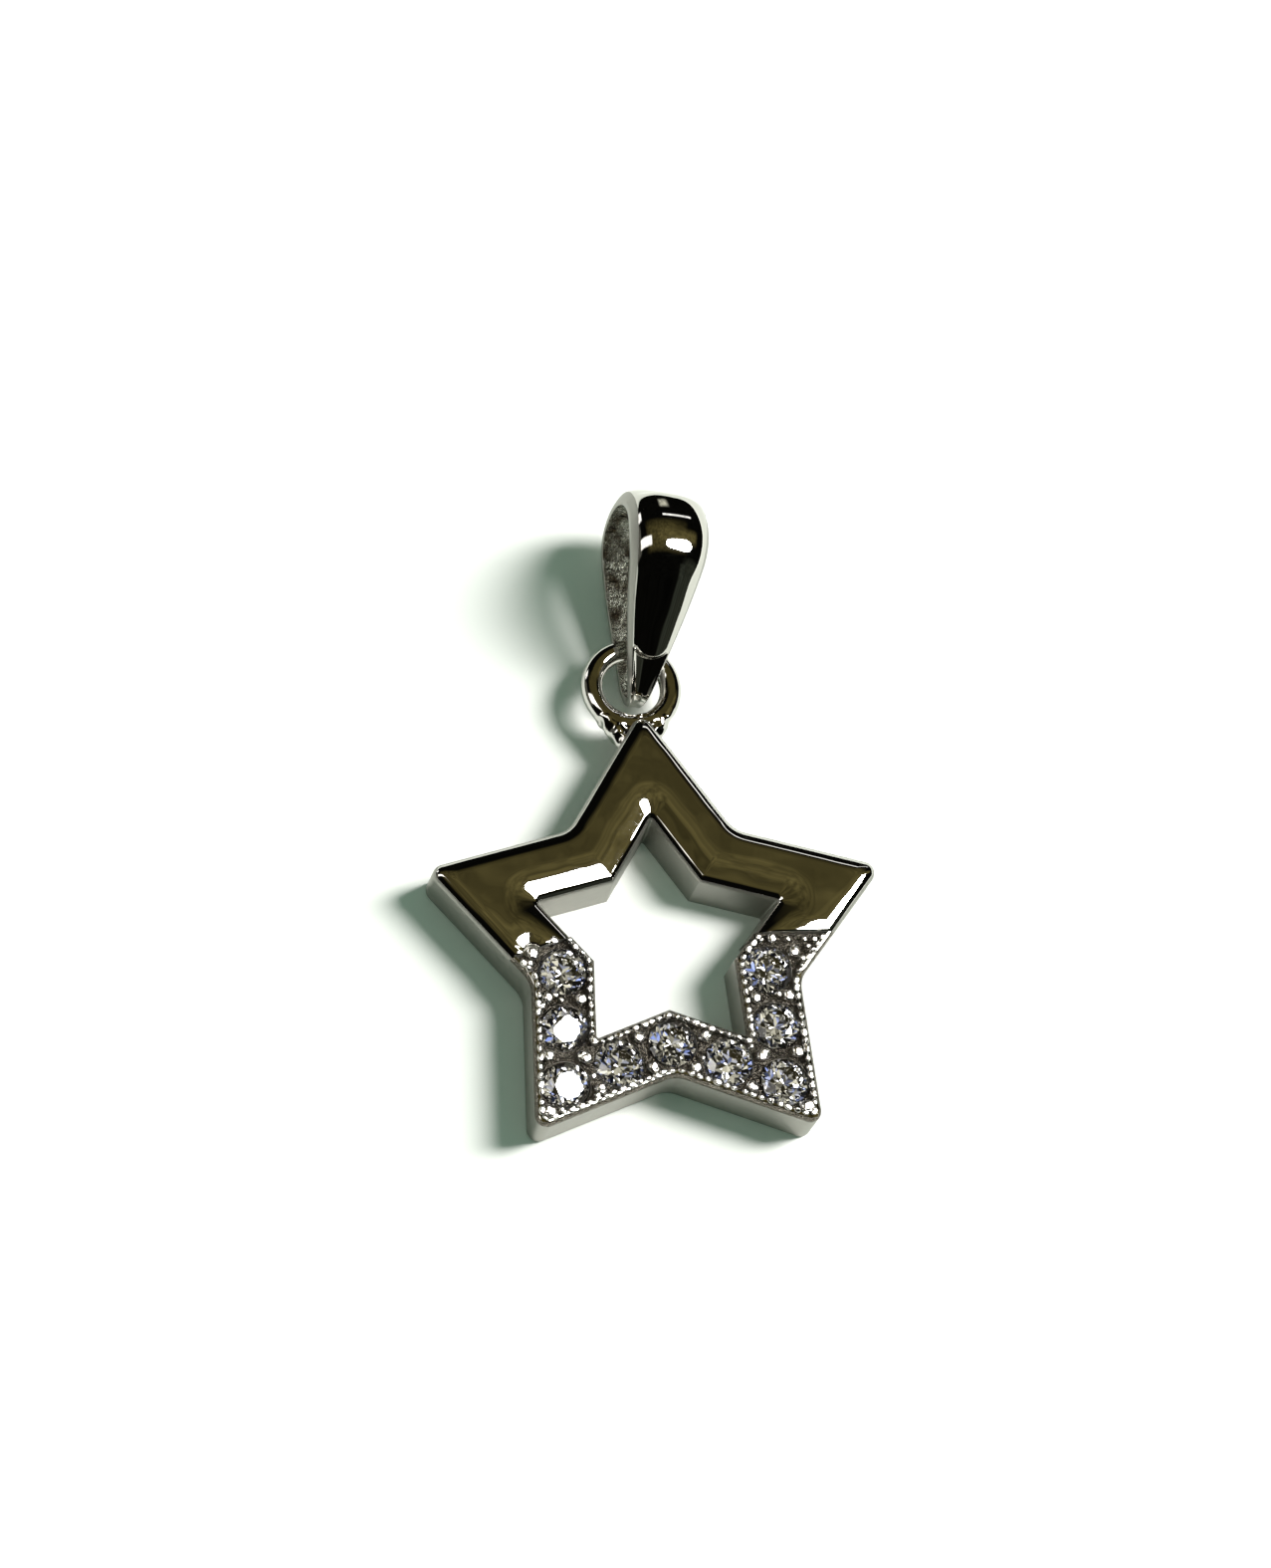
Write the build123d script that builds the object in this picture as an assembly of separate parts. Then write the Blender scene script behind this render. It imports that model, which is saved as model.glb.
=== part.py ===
from build123d import *
import math
import os

# Star pendant lying on its back, in millimetres. The surface it lies on is z = 0, +Y points
# from the star to the bail, and +Z out of the star's face. While it is modelled, the middle
# of the star is at x = 0, y = 0. The last step moves everything to the middle of the whole.

# Star
points = 5
tip_radius = 7.2  # middle of the star to the corner where two sides would meet
notch_radius = 4.2  # middle of the star to the inner corner of the outline
band_width = 1.88
thickness = 1.6
tip_round = 0.34  # corner radius of the outline at a point
notch_round = 0.9  # corner radius of the outline between two points
outer_roll = 0.26  # rounding of the polished outer edge
inner_roll = 0.56  # rounding of the polished edge of the hole
back_edge = 0.08  # small rounding of the outline at the back

# Pave channel in the lower part of the star. The polished metal ends on a line over each leg.
left_start_gap = 0.22  # from the first stone's edge to the end of the polished metal
left_lean = 20.0  # degrees that the left line rises towards the hole
right_start_gap = 0.4
right_lean = 0.0
rim_width = 0.16
rim_edge = 0.07  # rounding of the rims' outer edge
floor_depth = 0.27  # channel floor under the rims
end_roll = 0.2  # rounding where the polished metal drops to the channel

# Stones, as wide as the channel and their spacing let them be
stones_per_side = 2  # from an inner corner of the channel up to the next point, or back
stone_side_gap = 0.07  # from a stone's girdle to the rim beside it
stone_spare = 0.2  # least room between two stones
table_share = 0.57  # table width as a share of the stone's diameter
crown_angle = 34.5
star_angle = 21.4
upper_half_angle = 41.0
pavilion_angle = 41.0
lower_half_angle = 42.5
girdle_height = 0.05
stone_recess = 0.03  # table under the rims
stone_turn = 37.0  # degrees from one stone's facets to the next one's
seat_gap = 0.03  # between a stone and its seat
seat_tip_radius = 0.05
facet_pairs = 8

# Grains that hold the stones
grain_radius = 0.16
grain_rim_gap = 0.1  # from a grain to the rim beside it
grain_stone_gap = 0.09  # from the outermost stone's edge to the grain outside it
grain_recess = 0.02  # top of a grain under the rims
grain_root = 0.1  # depth of a grain's post in the channel floor
tip_grain_radius = 0.24
tip_grain_gap = 0.05
start_grain_radius = 0.2
start_grain_angle = 32.0

# Ring at the top point
ring_inner_radius = 0.88
ring_wire = 0.62
ring_shift = -0.14  # middle of the ring from the star's middle line
ring_sink = 0.37  # how far the ring's edge lies in over the end of the point
ring_height = 1.0  # middle of the wire above the surface
neck_lean = 32.0  # degrees that the two flanks of the ring's foot close towards the star
neck_thinner = 0.02  # how much thinner a flank is than the ring's wire
neck_web = 0.46  # thickness of the metal between the flanks
neck_end = 0.34  # how far a flank runs on past the line of the point's side

# Bail
bail_depth = 4.2  # across the round end
bail_foot_play = 0.74  # narrow end across, over the wire of the ring
bail_reach = 3.98  # between the middles of the two ends
bail_width = 2.46
bail_foot_width = 0.46
bail_full_share = 0.75  # share of the way from the foot to the top where it has its full width
bail_flare = 1.2  # how late the width grows
bail_sections = 10  # from the foot to the top
bail_side = 0.12  # height of the straight sides of the section
bail_foot_side = 0.2
dome_share = 1.5  # radius of the section's dome as a share of half the width
bail_foot_dome_share = 2.2
shoulder_share = 0.42  # radius of its shoulders as a share of half the width
bail_foot_shoulder_share = 0.3
bail_turn = 8.6  # degrees that the loose bail lies turned to the right
bail_lean = 8.0  # degrees that it leans over to the right
bail_seat_x = 0.24  # middle of the bail's narrow end from the middle of the ring
bail_hook = 1.09  # middle of the bail's narrow end from the middle of the wire it hangs on

far = 2 * tip_radius  # well outside the star
through = 4 * thickness  # height of a block that passes through the star
half_turn = 180.0 / points
tip_angles = [90.0 + 2 * half_turn * step for step in range(points)]


def on_circle(radius, degrees):
    angle = math.radians(degrees)
    return (radius * math.cos(angle), radius * math.sin(angle))


def side_distance(tip, notch):
    """Distance from the middle of a star to one of its sides."""
    tip_x, tip_y = on_circle(tip, 0.0)
    notch_x, notch_y = on_circle(notch, half_turn)
    return abs(tip_x * notch_y - tip_y * notch_x) / math.hypot(tip_x - notch_x, tip_y - notch_y)


outer_distance = side_distance(tip_radius, notch_radius)
half_tip = math.asin(outer_distance / tip_radius)  # half of the angle between a point's sides
tip_end = tip_radius - tip_round * (1 / math.sin(half_tip) - 1)


def star_corners(inset):
    """Corners of the star whose sides lie an inset inside the outline, a point first."""
    share = 1.0 - inset / outer_distance
    corners = []
    for degrees in tip_angles:
        corners.append(on_circle(tip_radius * share, degrees))
        corners.append(on_circle(notch_radius * share, degrees + half_turn))
    return corners


def star_face(inset, point_round=0.0, between_round=0.0):
    face = make_face(Polyline(*star_corners(inset), close=True))
    middle_radius = (tip_radius + notch_radius) / 2 * (1.0 - inset / outer_distance)
    tips = [v for v in face.vertices() if math.hypot(v.X, v.Y) > middle_radius]
    if point_round:
        face = fillet(tips, point_round)
    if between_round:
        notches = [v for v in face.vertices() if math.hypot(v.X, v.Y) < middle_radius]
        face = fillet(notches, between_round)
    return face


def outline_block(top_edge):
    """The star's full outline as a block, with its top and back edges rounded."""
    block = extrude(star_face(0.0, tip_round, notch_round), thickness)
    block = fillet(block.faces().sort_by(Axis.Z)[-1].edges(), top_edge)
    return fillet(block.faces().sort_by(Axis.Z)[0].edges(), back_edge)


def rounding_bar(start, end, radius):
    """What rounds the upper edge of metal that lies to the left of the line from start to end."""
    reach = 1.0  # how far the bar runs past the metal
    along = Vector(*end) - Vector(*start)
    length = along.length
    along = along.normalized()
    frame = Plane(
        origin=Vector(*start) - along * reach + Vector(0, 0, thickness - radius),
        x_dir=Vector(-along.Y, along.X, 0),
        z_dir=along,
    )
    diagonal = radius * (1 - math.sqrt(0.5))
    corners = [(0, 0), (-reach, 0), (-reach, 2 * radius), (radius, 2 * radius), (radius, radius)]
    curve = ThreePointArc((radius, radius), (diagonal, radius * math.sqrt(0.5)), (0, 0))
    return extrude(frame * make_face([Polyline(*corners), curve]), length + 2 * reach)


def hole_rolls():
    """What the rolled edge of the hole takes away, mitred at each corner of the hole."""
    corners = star_corners(band_width)
    rolls = None
    for index, start in enumerate(corners):
        end = corners[(index + 1) % len(corners)]
        bar = rounding_bar(end, start, inner_roll)
        spread = far / notch_radius
        wedge = Polyline((0, 0), tuple(Vector(*start) * spread), tuple(Vector(*end) * spread), close=True)
        bar = bar & extrude(make_face(wedge), through)
        rolls = bar if rolls is None else rolls + bar
    return rolls


stone_corners = star_corners(band_width / 2)
stone_spacing = math.dist(stone_corners[0], stone_corners[1]) / stones_per_side
nearest_stones = stone_spacing * min(1.0, 2 * math.sin(half_tip))
stone_radius = min(band_width / 2 - rim_width - stone_side_gap, (nearest_stones - stone_spare) / 2)
table_radius = stone_radius * table_share
crown_height = (stone_radius - table_radius) * math.tan(math.radians(crown_angle))
pavilion_height = stone_radius * math.tan(math.radians(pavilion_angle))
table_z = thickness - stone_recess
girdle_top_z = table_z - crown_height
girdle_low_z = girdle_top_z - girdle_height
floor_z = thickness - floor_depth


def pave_positions():
    """Middle of each stone, from the left inner corner round the bottom to the right one."""
    run = stone_corners[3:8]
    places = []
    for start, end in zip(run, run[1:]):
        for step in range(stones_per_side):
            share = step / stones_per_side
            places.append((start[0] + (end[0] - start[0]) * share, start[1] + (end[1] - start[1]) * share))
    places.append(run[-1])
    return places


def end_lines():
    """Ends of the line on the left leg and of the one on the right leg where the pave starts."""
    places = pave_positions()
    left = (places[0], left_start_gap, left_lean)
    right = (places[-1], right_start_gap, right_lean)
    lines = []
    for place, gap, lean in (left, right):
        slope = math.tan(math.radians(lean))
        height = place[1] + stone_radius + gap
        inner = (0, height + abs(place[0]) * slope)
        outer = (math.copysign(far, place[0]), height - (far - abs(place[0])) * slope)
        lines.append([outer, inner] if place[0] < 0 else [inner, outer])
    return lines


def pave_zone():
    """All that lies below the two lines."""
    left, right = end_lines()
    corners = [*left, *right, (far, -far), (-far, -far)]
    return Pos(0, 0, -thickness) * extrude(make_face(Polyline(*corners, close=True)), through)


def hole_block():
    return Pos(0, 0, -thickness) * extrude(star_face(band_width), through)


def polished_part():
    metal = outline_block(outer_roll) - hole_block() - hole_rolls() - pave_zone()
    for start, end in end_lines():
        half = Pos(far if start[0] >= 0 else -far, 0, thickness) * Box(2 * far, 2 * far, through)
        metal -= rounding_bar(start, end, end_roll) & half
    return metal


def seat_cutter():
    """Room under and round one stone, on the Z axis."""
    wide = stone_radius + seat_gap
    depth = wide * math.tan(math.radians(pavilion_angle))
    bottom = girdle_low_z - depth - seat_gap
    align = (Align.CENTER, Align.CENTER, Align.MIN)
    cone = Pos(0, 0, bottom) * Cone(seat_tip_radius, wide, girdle_low_z - bottom, align=align)
    return cone + Pos(0, 0, girdle_low_z) * Cylinder(wide, thickness, align=align)


def grain(radius, place):
    """One raised grain: a short post with a round head that stands on the channel floor."""
    head_z = thickness - grain_recess - radius
    align = (Align.CENTER, Align.CENTER, Align.MIN)
    foot = floor_z - grain_root
    post = Pos(place[0], place[1], foot) * Cylinder(radius, head_z - foot, align=align)
    return post + Pos(place[0], place[1], head_z) * Sphere(radius)


def grain_places():
    """Radius and place of each grain."""
    stones = pave_positions()
    grain_offset = band_width / 2 - rim_width - grain_rim_gap - grain_radius
    rows = []
    for start, end in zip(stones, stones[1:]):
        middle = ((start[0] + end[0]) / 2, (start[1] + end[1]) / 2)
        along = (Vector(*end) - Vector(*start)).normalized()
        for side in (1, -1):
            spot = (middle[0] - side * along.Y * grain_offset, middle[1] + side * along.X * grain_offset)
            rows.append((grain_radius, spot))
    for degrees in tip_angles[2:4]:
        stone = on_circle(tip_radius * (1 - band_width / 2 / outer_distance), degrees)
        step = on_circle(stone_radius + tip_grain_gap + tip_grain_radius, degrees)
        rows.append((tip_grain_radius, (stone[0] + step[0], stone[1] + step[1])))
    for side, stone in ((-1, stones[0]), (1, stones[-1])):
        out, up = on_circle(stone_radius + grain_stone_gap + start_grain_radius, start_grain_angle)
        rows.append((start_grain_radius, (stone[0] + side * out, stone[1] + up)))
    return rows


def pave_part():
    metal = (outline_block(rim_edge) - hole_block()) & pave_zone()
    channel = star_face(rim_width) - star_face(band_width - rim_width)
    metal -= extrude(Pos(0, 0, floor_z) * channel, thickness)
    for radius, place in grain_places():
        metal += grain(radius, place)
    for x, y in pave_positions():
        metal -= Pos(x, y, 0) * seat_cutter()
    return metal


ring_middle_radius = ring_inner_radius + ring_wire / 2
ring_centre_y = tip_end - ring_sink + ring_middle_radius + ring_wire / 2


def ring():
    """The closed ring and its foot, whose two flanks run into the sides of the point."""
    lean = math.radians(neck_lean)
    whole = Torus(ring_middle_radius, ring_wire / 2)
    meet = (ring_middle_radius * math.cos(lean), -ring_middle_radius * math.sin(lean))
    above_side = ring_centre_y + meet[1] - tip_radius + meet[0] / math.tan(half_tip)
    length = above_side / (math.cos(lean) + math.sin(lean) / math.tan(half_tip)) + neck_end
    low = (meet[0] - length * math.sin(lean), meet[1] - length * math.cos(lean))
    for side in (-1, 1):
        along = Vector(-side * math.sin(lean), -math.cos(lean), 0)
        frame = Plane(origin=Vector(side * meet[0], meet[1], 0), z_dir=along)
        whole += extrude(frame * Circle((ring_wire - neck_thinner) / 2), length)
    web = Polyline(meet, low, (-low[0], low[1]), (-meet[0], meet[1]), close=True)
    web = extrude(make_face(web), neck_web / 2, both=True)
    whole += web - Cylinder(ring_middle_radius, 2 * ring_wire)
    return Pos(ring_shift, ring_centre_y, ring_height) * whole


def star_frame():
    return polished_part() + pave_part() + ring()


def facet(stone, degrees, tilt, distance, height):
    """Keeps what lies under the facet that passes a distance from the axis at a height."""
    angle = math.radians(degrees)
    lean = math.radians(tilt)
    normal = Vector(math.sin(lean) * math.cos(angle), math.sin(lean) * math.sin(angle), math.cos(lean))
    origin = Vector(distance * math.cos(angle), distance * math.sin(angle), height)
    return split(stone, bisect_by=Plane(origin=origin, z_dir=normal), keep=Keep.BOTTOM)


def brilliant():
    """One round brilliant on the Z axis, with its table, crown, girdle and pavilion."""
    step = 360 / facet_pairs
    sides = 2 * facet_pairs
    flat_radius = stone_radius * math.cos(math.pi / sides)
    total = crown_height + girdle_height + pavilion_height
    stone = Pos(0, 0, table_z) * extrude(RegularPolygon(stone_radius, sides), total)
    stone = Pos(0, 0, -total) * stone
    table_flat = table_radius * math.cos(math.pi / facet_pairs)
    for index in range(facet_pairs):
        main = index * step
        stone = facet(stone, main, crown_angle, stone_radius, girdle_top_z)
        stone = facet(stone, main + step / 2, star_angle, table_flat, table_z)
        stone = facet(stone, main, 180 - pavilion_angle, stone_radius, girdle_low_z)
        for side in (-1, 1):
            half = main + side * step / 4
            stone = facet(stone, half, upper_half_angle, flat_radius, girdle_top_z)
            stone = facet(stone, half, 180 - lower_half_angle, flat_radius, girdle_low_z)
    return stone


bail_foot_radius = (ring_wire + bail_foot_play) / 2
bail_lean_angle = math.asin((bail_depth / 2 - bail_foot_radius) / bail_reach)


def bail_section(place):
    """Place, direction and size of the bail's section, from 0 at the foot to 1 at the top."""
    foot_radius = bail_foot_radius
    top_radius = bail_depth / 2
    lean = bail_lean_angle
    foot_arc = foot_radius * (math.pi / 2 - lean)
    straight = bail_reach * math.cos(lean)
    top_arc = top_radius * (math.pi / 2 + lean)
    walked = place * (foot_arc + straight + top_arc)
    if walked < foot_arc:
        angle = math.pi - walked / foot_radius
        point = (foot_radius * math.cos(angle), foot_radius * math.sin(angle))
    elif walked < foot_arc + straight:
        angle = math.pi / 2 + lean
        gone = walked - foot_arc
        point = (
            foot_radius * math.cos(angle) + gone * math.cos(lean),
            foot_radius * math.sin(angle) + gone * math.sin(lean),
        )
    else:
        angle = math.pi / 2 + lean - (walked - foot_arc - straight) / top_radius
        point = (bail_reach + top_radius * math.cos(angle), top_radius * math.sin(angle))
    return point, angle


def between(foot, top, grown):
    return foot + (top - foot) * grown


def bail_profile(grown):
    """D-shaped section with its dome's middle at the origin: flat inside, steep sides, domed."""
    half = between(bail_foot_width, bail_width, grown) / 2
    side = between(bail_foot_side, bail_side, grown)
    crown = half * between(bail_foot_dome_share, dome_share, grown)
    shoulder = half * between(bail_foot_shoulder_share, shoulder_share, grown)
    top = -crown + math.sqrt((crown - shoulder) ** 2 - (half - shoulder) ** 2)
    lean = math.atan2(half - shoulder, top + crown)
    meet = (crown * math.sin(lean), crown * math.cos(lean) - crown)
    bend = (math.pi / 2 + lean) / 2
    middle = (half - shoulder + shoulder * math.sin(bend), top + shoulder * math.cos(bend))
    foot = top - side
    straight = Polyline((half, top), (half, foot), (-half, foot), (-half, top))
    left = ThreePointArc((-half, top), (-middle[0], middle[1]), (-meet[0], meet[1]))
    dome = ThreePointArc((-meet[0], meet[1]), (0, 0), meet)
    right = ThreePointArc(meet, middle, (half, top))
    return make_face([straight, left, dome, right])


def bail_half(side):
    """Half of the loop, from the foot to the top, in front or behind."""
    sections = []
    for step in range(bail_sections + 1):
        place = step / bail_sections
        (y, z), angle = bail_section(place)
        grown = math.sin(min(1.0, place / bail_full_share) * math.pi / 2) ** bail_flare
        out = Vector(0, math.cos(angle), side * math.sin(angle))
        frame = Plane(origin=Vector(0, y, side * z), x_dir=(1, 0, 0), z_dir=Vector(1, 0, 0).cross(out))
        sections.append(frame * bail_profile(grown))
    return loft(sections)


def bail():
    loop = bail_half(1) + bail_half(-1)
    pitch = math.degrees(bail_lean_angle)
    loop = Rot(0, 0, -bail_turn) * Rot(pitch, 0, 0) * Rot(0, bail_lean, 0) * loop
    lift = -loop.bounding_box().min.Z
    seat_y = ring_centre_y + ring_middle_radius - bail_hook
    return Pos(ring_shift + bail_seat_x, seat_y, lift) * loop


pieces = {"star_frame": star_frame(), "bail": bail()}
one_stone = brilliant()
for number, (x, y) in enumerate(pave_positions(), start=1):
    pieces[f"stone_{number}"] = Pos(x, y, 0) * Rot(0, 0, number * stone_turn) * one_stone

os.makedirs("parts", exist_ok=True)
boxes = [piece.bounding_box() for piece in pieces.values()]
middle_x = (min(box.min.X for box in boxes) + max(box.max.X for box in boxes)) / 2
middle_y = (min(box.min.Y for box in boxes) + max(box.max.Y for box in boxes)) / 2
for name, piece in pieces.items():
    export_step(Pos(-middle_x, -middle_y, 0) * piece, f"parts/{name}.step")
    print(name, "volume", round(piece.volume, 3), "valid", piece.is_valid)
print("moved by", round(-middle_x, 4), round(-middle_y, 4))
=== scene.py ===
import math
import random

import bmesh
import bpy
from mathutils import Matrix, Vector
from mathutils.noise import noise_vector, seed_set


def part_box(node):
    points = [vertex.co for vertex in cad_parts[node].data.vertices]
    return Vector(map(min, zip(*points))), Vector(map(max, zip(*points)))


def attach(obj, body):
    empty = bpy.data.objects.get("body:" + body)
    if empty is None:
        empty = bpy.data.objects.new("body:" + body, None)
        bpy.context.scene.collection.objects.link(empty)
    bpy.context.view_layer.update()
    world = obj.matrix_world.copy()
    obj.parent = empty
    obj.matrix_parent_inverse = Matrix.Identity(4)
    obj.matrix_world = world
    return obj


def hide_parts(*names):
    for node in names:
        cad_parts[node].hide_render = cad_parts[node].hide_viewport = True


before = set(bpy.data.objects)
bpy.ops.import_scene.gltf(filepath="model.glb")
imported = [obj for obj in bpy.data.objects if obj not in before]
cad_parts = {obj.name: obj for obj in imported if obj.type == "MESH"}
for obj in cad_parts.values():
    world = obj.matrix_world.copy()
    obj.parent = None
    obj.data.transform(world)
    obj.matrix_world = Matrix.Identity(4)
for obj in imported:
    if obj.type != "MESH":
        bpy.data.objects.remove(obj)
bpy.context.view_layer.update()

# Silver star pendant. Pieces are modelled in millimetres round the middle of the star, face up,
# and finishPiece brings each of them to metres and to its place in the frame.
random.seed(5)
seed_set(5)
mm = 0.001

# The star as it is drawn: five points, and a hole whose sides run parallel to the outline
star = {
    "points": 5,
    "tipRadius": 7.2,  # to the corner where two sides would meet
    "notchRadius": 4.2,
    "bandWidth": 1.88,
    "thickness": 1.6,
    "tipRound": 0.34,
    "notchRound": 0.9,
    "holeRound": 0.06,  # corners of the hole
    "notchSoften": 0.3,  # share of the softening of the hole's points that its inward corners get
    "cornerSteps": 16,  # facets round each corner of an outline
}
halfTurn = math.pi / star["points"]


def onCircle(radius, degrees):
    angle = math.radians(degrees)
    return Vector((radius * math.cos(angle), radius * math.sin(angle), 0))


tipCorner = onCircle(star["tipRadius"], 0)
notchCorner = onCircle(star["notchRadius"], math.degrees(halfTurn))
sideDistance = abs(tipCorner.x * notchCorner.y) / (tipCorner - notchCorner).length
halfTip = math.asin(sideDistance / star["tipRadius"])  # half the angle of a point
roundedTip = star["tipRadius"] - star["tipRound"] / math.sin(halfTip)
lowTip = math.cos(halfTurn) * roundedTip + star["tipRound"]  # how far the two low points reach down
starMiddle = Vector((0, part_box("star_frame")[0].y + lowTip * mm, 0))


def starCorners(inset):
    share = 1 - inset / sideDistance
    corners = []
    for step in range(star["points"]):
        degrees = 90 + 2 * math.degrees(halfTurn) * step
        corners.append(onCircle(star["tipRadius"] * share, degrees))
        corners.append(onCircle(star["notchRadius"] * share, degrees + math.degrees(halfTurn)))
    return corners


def roundedStar(inset, tipRound, notchRound, z):
    # outline of the star with an arc of as many steps at every corner
    corners = starCorners(inset)
    outline = []
    for index, corner in enumerate(corners):
        before = (corners[index - 1] - corner).normalized()
        after = (corners[(index + 1) % len(corners)] - corner).normalized()
        radius = notchRound if index % 2 else tipRound
        half = before.angle(after) / 2
        middle = corner + (before + after).normalized() * radius / math.sin(half)
        start = corner + before * radius / math.tan(half) - middle
        turn = math.pi - 2 * half
        sign = 1 if before.cross(after).z < 0 else -1
        for step in range(star["cornerSteps"] + 1):
            arm = Matrix.Rotation(sign * turn * step / star["cornerSteps"], 3, "Z") @ start
            outline.append((middle.x + arm.x, middle.y + arm.y, z))
    return outline


def holeOutline(inset, z, soften=0.0):
    notchRound = star["holeRound"] + star["notchSoften"] * soften
    return roundedStar(inset, star["holeRound"] + soften, notchRound, z)


def deselectAll():
    if bpy.context.object and bpy.context.object.mode != "OBJECT":
        bpy.ops.object.mode_set(mode="OBJECT")
    bpy.ops.object.select_all(action="DESELECT")


def choose(piece):
    deselectAll()
    piece.select_set(True)
    bpy.context.view_layer.objects.active = piece


def openPiece(piece):
    choose(piece)
    bpy.ops.object.mode_set(mode="EDIT")


def closePiece():
    bpy.ops.object.mode_set(mode="OBJECT")


def pick(piece, kind, test):
    # selects in edit mode the vertices, edges or faces that the test says yes to
    bpy.ops.mesh.select_mode(type=kind)
    bpy.ops.mesh.select_all(action="DESELECT")
    mesh = bmesh.from_edit_mesh(piece.data)
    for part in {"VERT": mesh.verts, "EDGE": mesh.edges, "FACE": mesh.faces}[kind]:
        part.select_set(bool(test(part)))
    mesh.select_flush_mode()
    bmesh.update_edit_mesh(piece.data)


def joinAll(name, pieces):
    deselectAll()
    for piece in pieces:
        piece.select_set(True)
    bpy.context.view_layer.objects.active = pieces[0]
    bpy.ops.object.join()
    bpy.context.object.name = name
    return bpy.context.object


def drawOutline(name, outline):
    deselectAll()
    bpy.ops.mesh.primitive_circle_add(vertices=len(outline), radius=1)
    loop = bpy.context.object
    loop.name = name
    for vertex, place in zip(loop.data.vertices, outline):
        vertex.co = place
    return loop


def pullLoop(piece, outline):
    # extrudes the selected loop of edges and lays the new loop on the outline
    bpy.ops.mesh.extrude_edges_move()
    mesh = bmesh.from_edit_mesh(piece.data)
    fresh = [vertex for vertex in mesh.verts if vertex.select]
    for vertex, place in zip(fresh, outline):
        vertex.co = place
    bmesh.update_edit_mesh(piece.data)


def skin(name, outlines, closed=True):
    # a skin over outlines that follow one another: all the way round a section, or from a lid to a lid
    piece = drawOutline(name, outlines[0])
    openPiece(piece)
    bpy.ops.mesh.select_all(action="SELECT")
    if not closed:
        bpy.ops.mesh.edge_face_add()
    for outline in outlines[1:] + outlines[:1] * closed:
        pullLoop(piece, outline)
    if not closed:
        bpy.ops.mesh.edge_face_add()
    bpy.ops.mesh.select_all(action="SELECT")
    bpy.ops.mesh.remove_doubles(threshold=1e-6)
    bpy.ops.mesh.normals_make_consistent(inside=False)
    closePiece()
    return piece


def applyModifier(piece, kind, **settings):
    choose(piece)
    modifier = piece.modifiers.new(kind.lower(), kind)
    for key, value in settings.items():
        setattr(modifier, key, value)
    bpy.ops.object.modifier_apply(modifier=modifier.name)


def cutAway(piece, cutter, operation="DIFFERENCE"):
    applyModifier(piece, "BOOLEAN", operation=operation, object=cutter, solver="EXACT")
    bpy.data.objects.remove(cutter)


def dress(piece, *materials):
    # the first material everywhere; the others come from the tests that go with them
    piece.data.materials.append(materials[0])
    for index, (material, test) in enumerate(materials[1:], 1):
        piece.data.materials.append(material)
        for face in piece.data.polygons:
            if test(face):
                face.material_index = index


def finishPiece(piece, material, smoothAngle=35, replaces=(), keepFlat=True):
    # smooth polished surfaces with flat faces kept flat, then metres and the place in the frame
    choose(piece)
    bpy.ops.object.shade_smooth_by_angle(angle=math.radians(smoothAngle))
    if keepFlat:
        applyModifier(piece, "WEIGHTED_NORMAL", keep_sharp=True, weight=100)
    piece.data.transform(Matrix.Translation(starMiddle) @ Matrix.Scale(mm, 4))
    if not piece.data.materials:
        piece.data.materials.append(material)
    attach(piece, "root")
    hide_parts(*replaces)
    print("piece", piece.name, len(piece.data.polygons), "faces")


# Materials

def hexColour(code):
    # sRGB hex to linear
    parts = [int(code[place:place + 2], 16) / 255 for place in (0, 2, 4)]
    linear = [part / 12.92 if part <= 0.04045 else ((part + 0.055) / 1.055) ** 2.4 for part in parts]
    return (*linear, 1)


def addNode(tree, kind, sockets=None, **settings):
    # a node with its own settings, its socket values and what it is linked from
    node = tree.nodes.new(kind)
    for key, value in settings.items():
        setattr(node, key, value)
    for socket, source in (sockets or {}).items():
        if isinstance(source, bpy.types.NodeSocket):
            tree.links.new(source, node.inputs[socket])
        else:
            node.inputs[socket].default_value = source
    return node


def newMaterial(name, values):
    material = bpy.data.materials.new(name)
    material.use_nodes = True
    tree = material.node_tree
    shader = tree.nodes["Principled BSDF"]
    for socket, value in values.items():
        shader.inputs[socket].default_value = value
    return material, tree, shader


def roughen(tree, shader, size, depth, detail=3, roughness=0.5):
    # uneven surface, with lumps about that many millimetres across and deep
    place = addNode(tree, "ShaderNodeTexCoord").outputs["Object"]
    sockets = {"Vector": place, "Scale": 1 / (size * mm), "Detail": detail, "Roughness": roughness}
    lumps = addNode(tree, "ShaderNodeTexNoise", sockets).outputs["Fac"]
    bump = addNode(tree, "ShaderNodeBump", {"Height": lumps, "Distance": depth * mm, "Strength": 1.0})
    tree.links.new(bump.outputs["Normal"], shader.inputs["Normal"])


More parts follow.
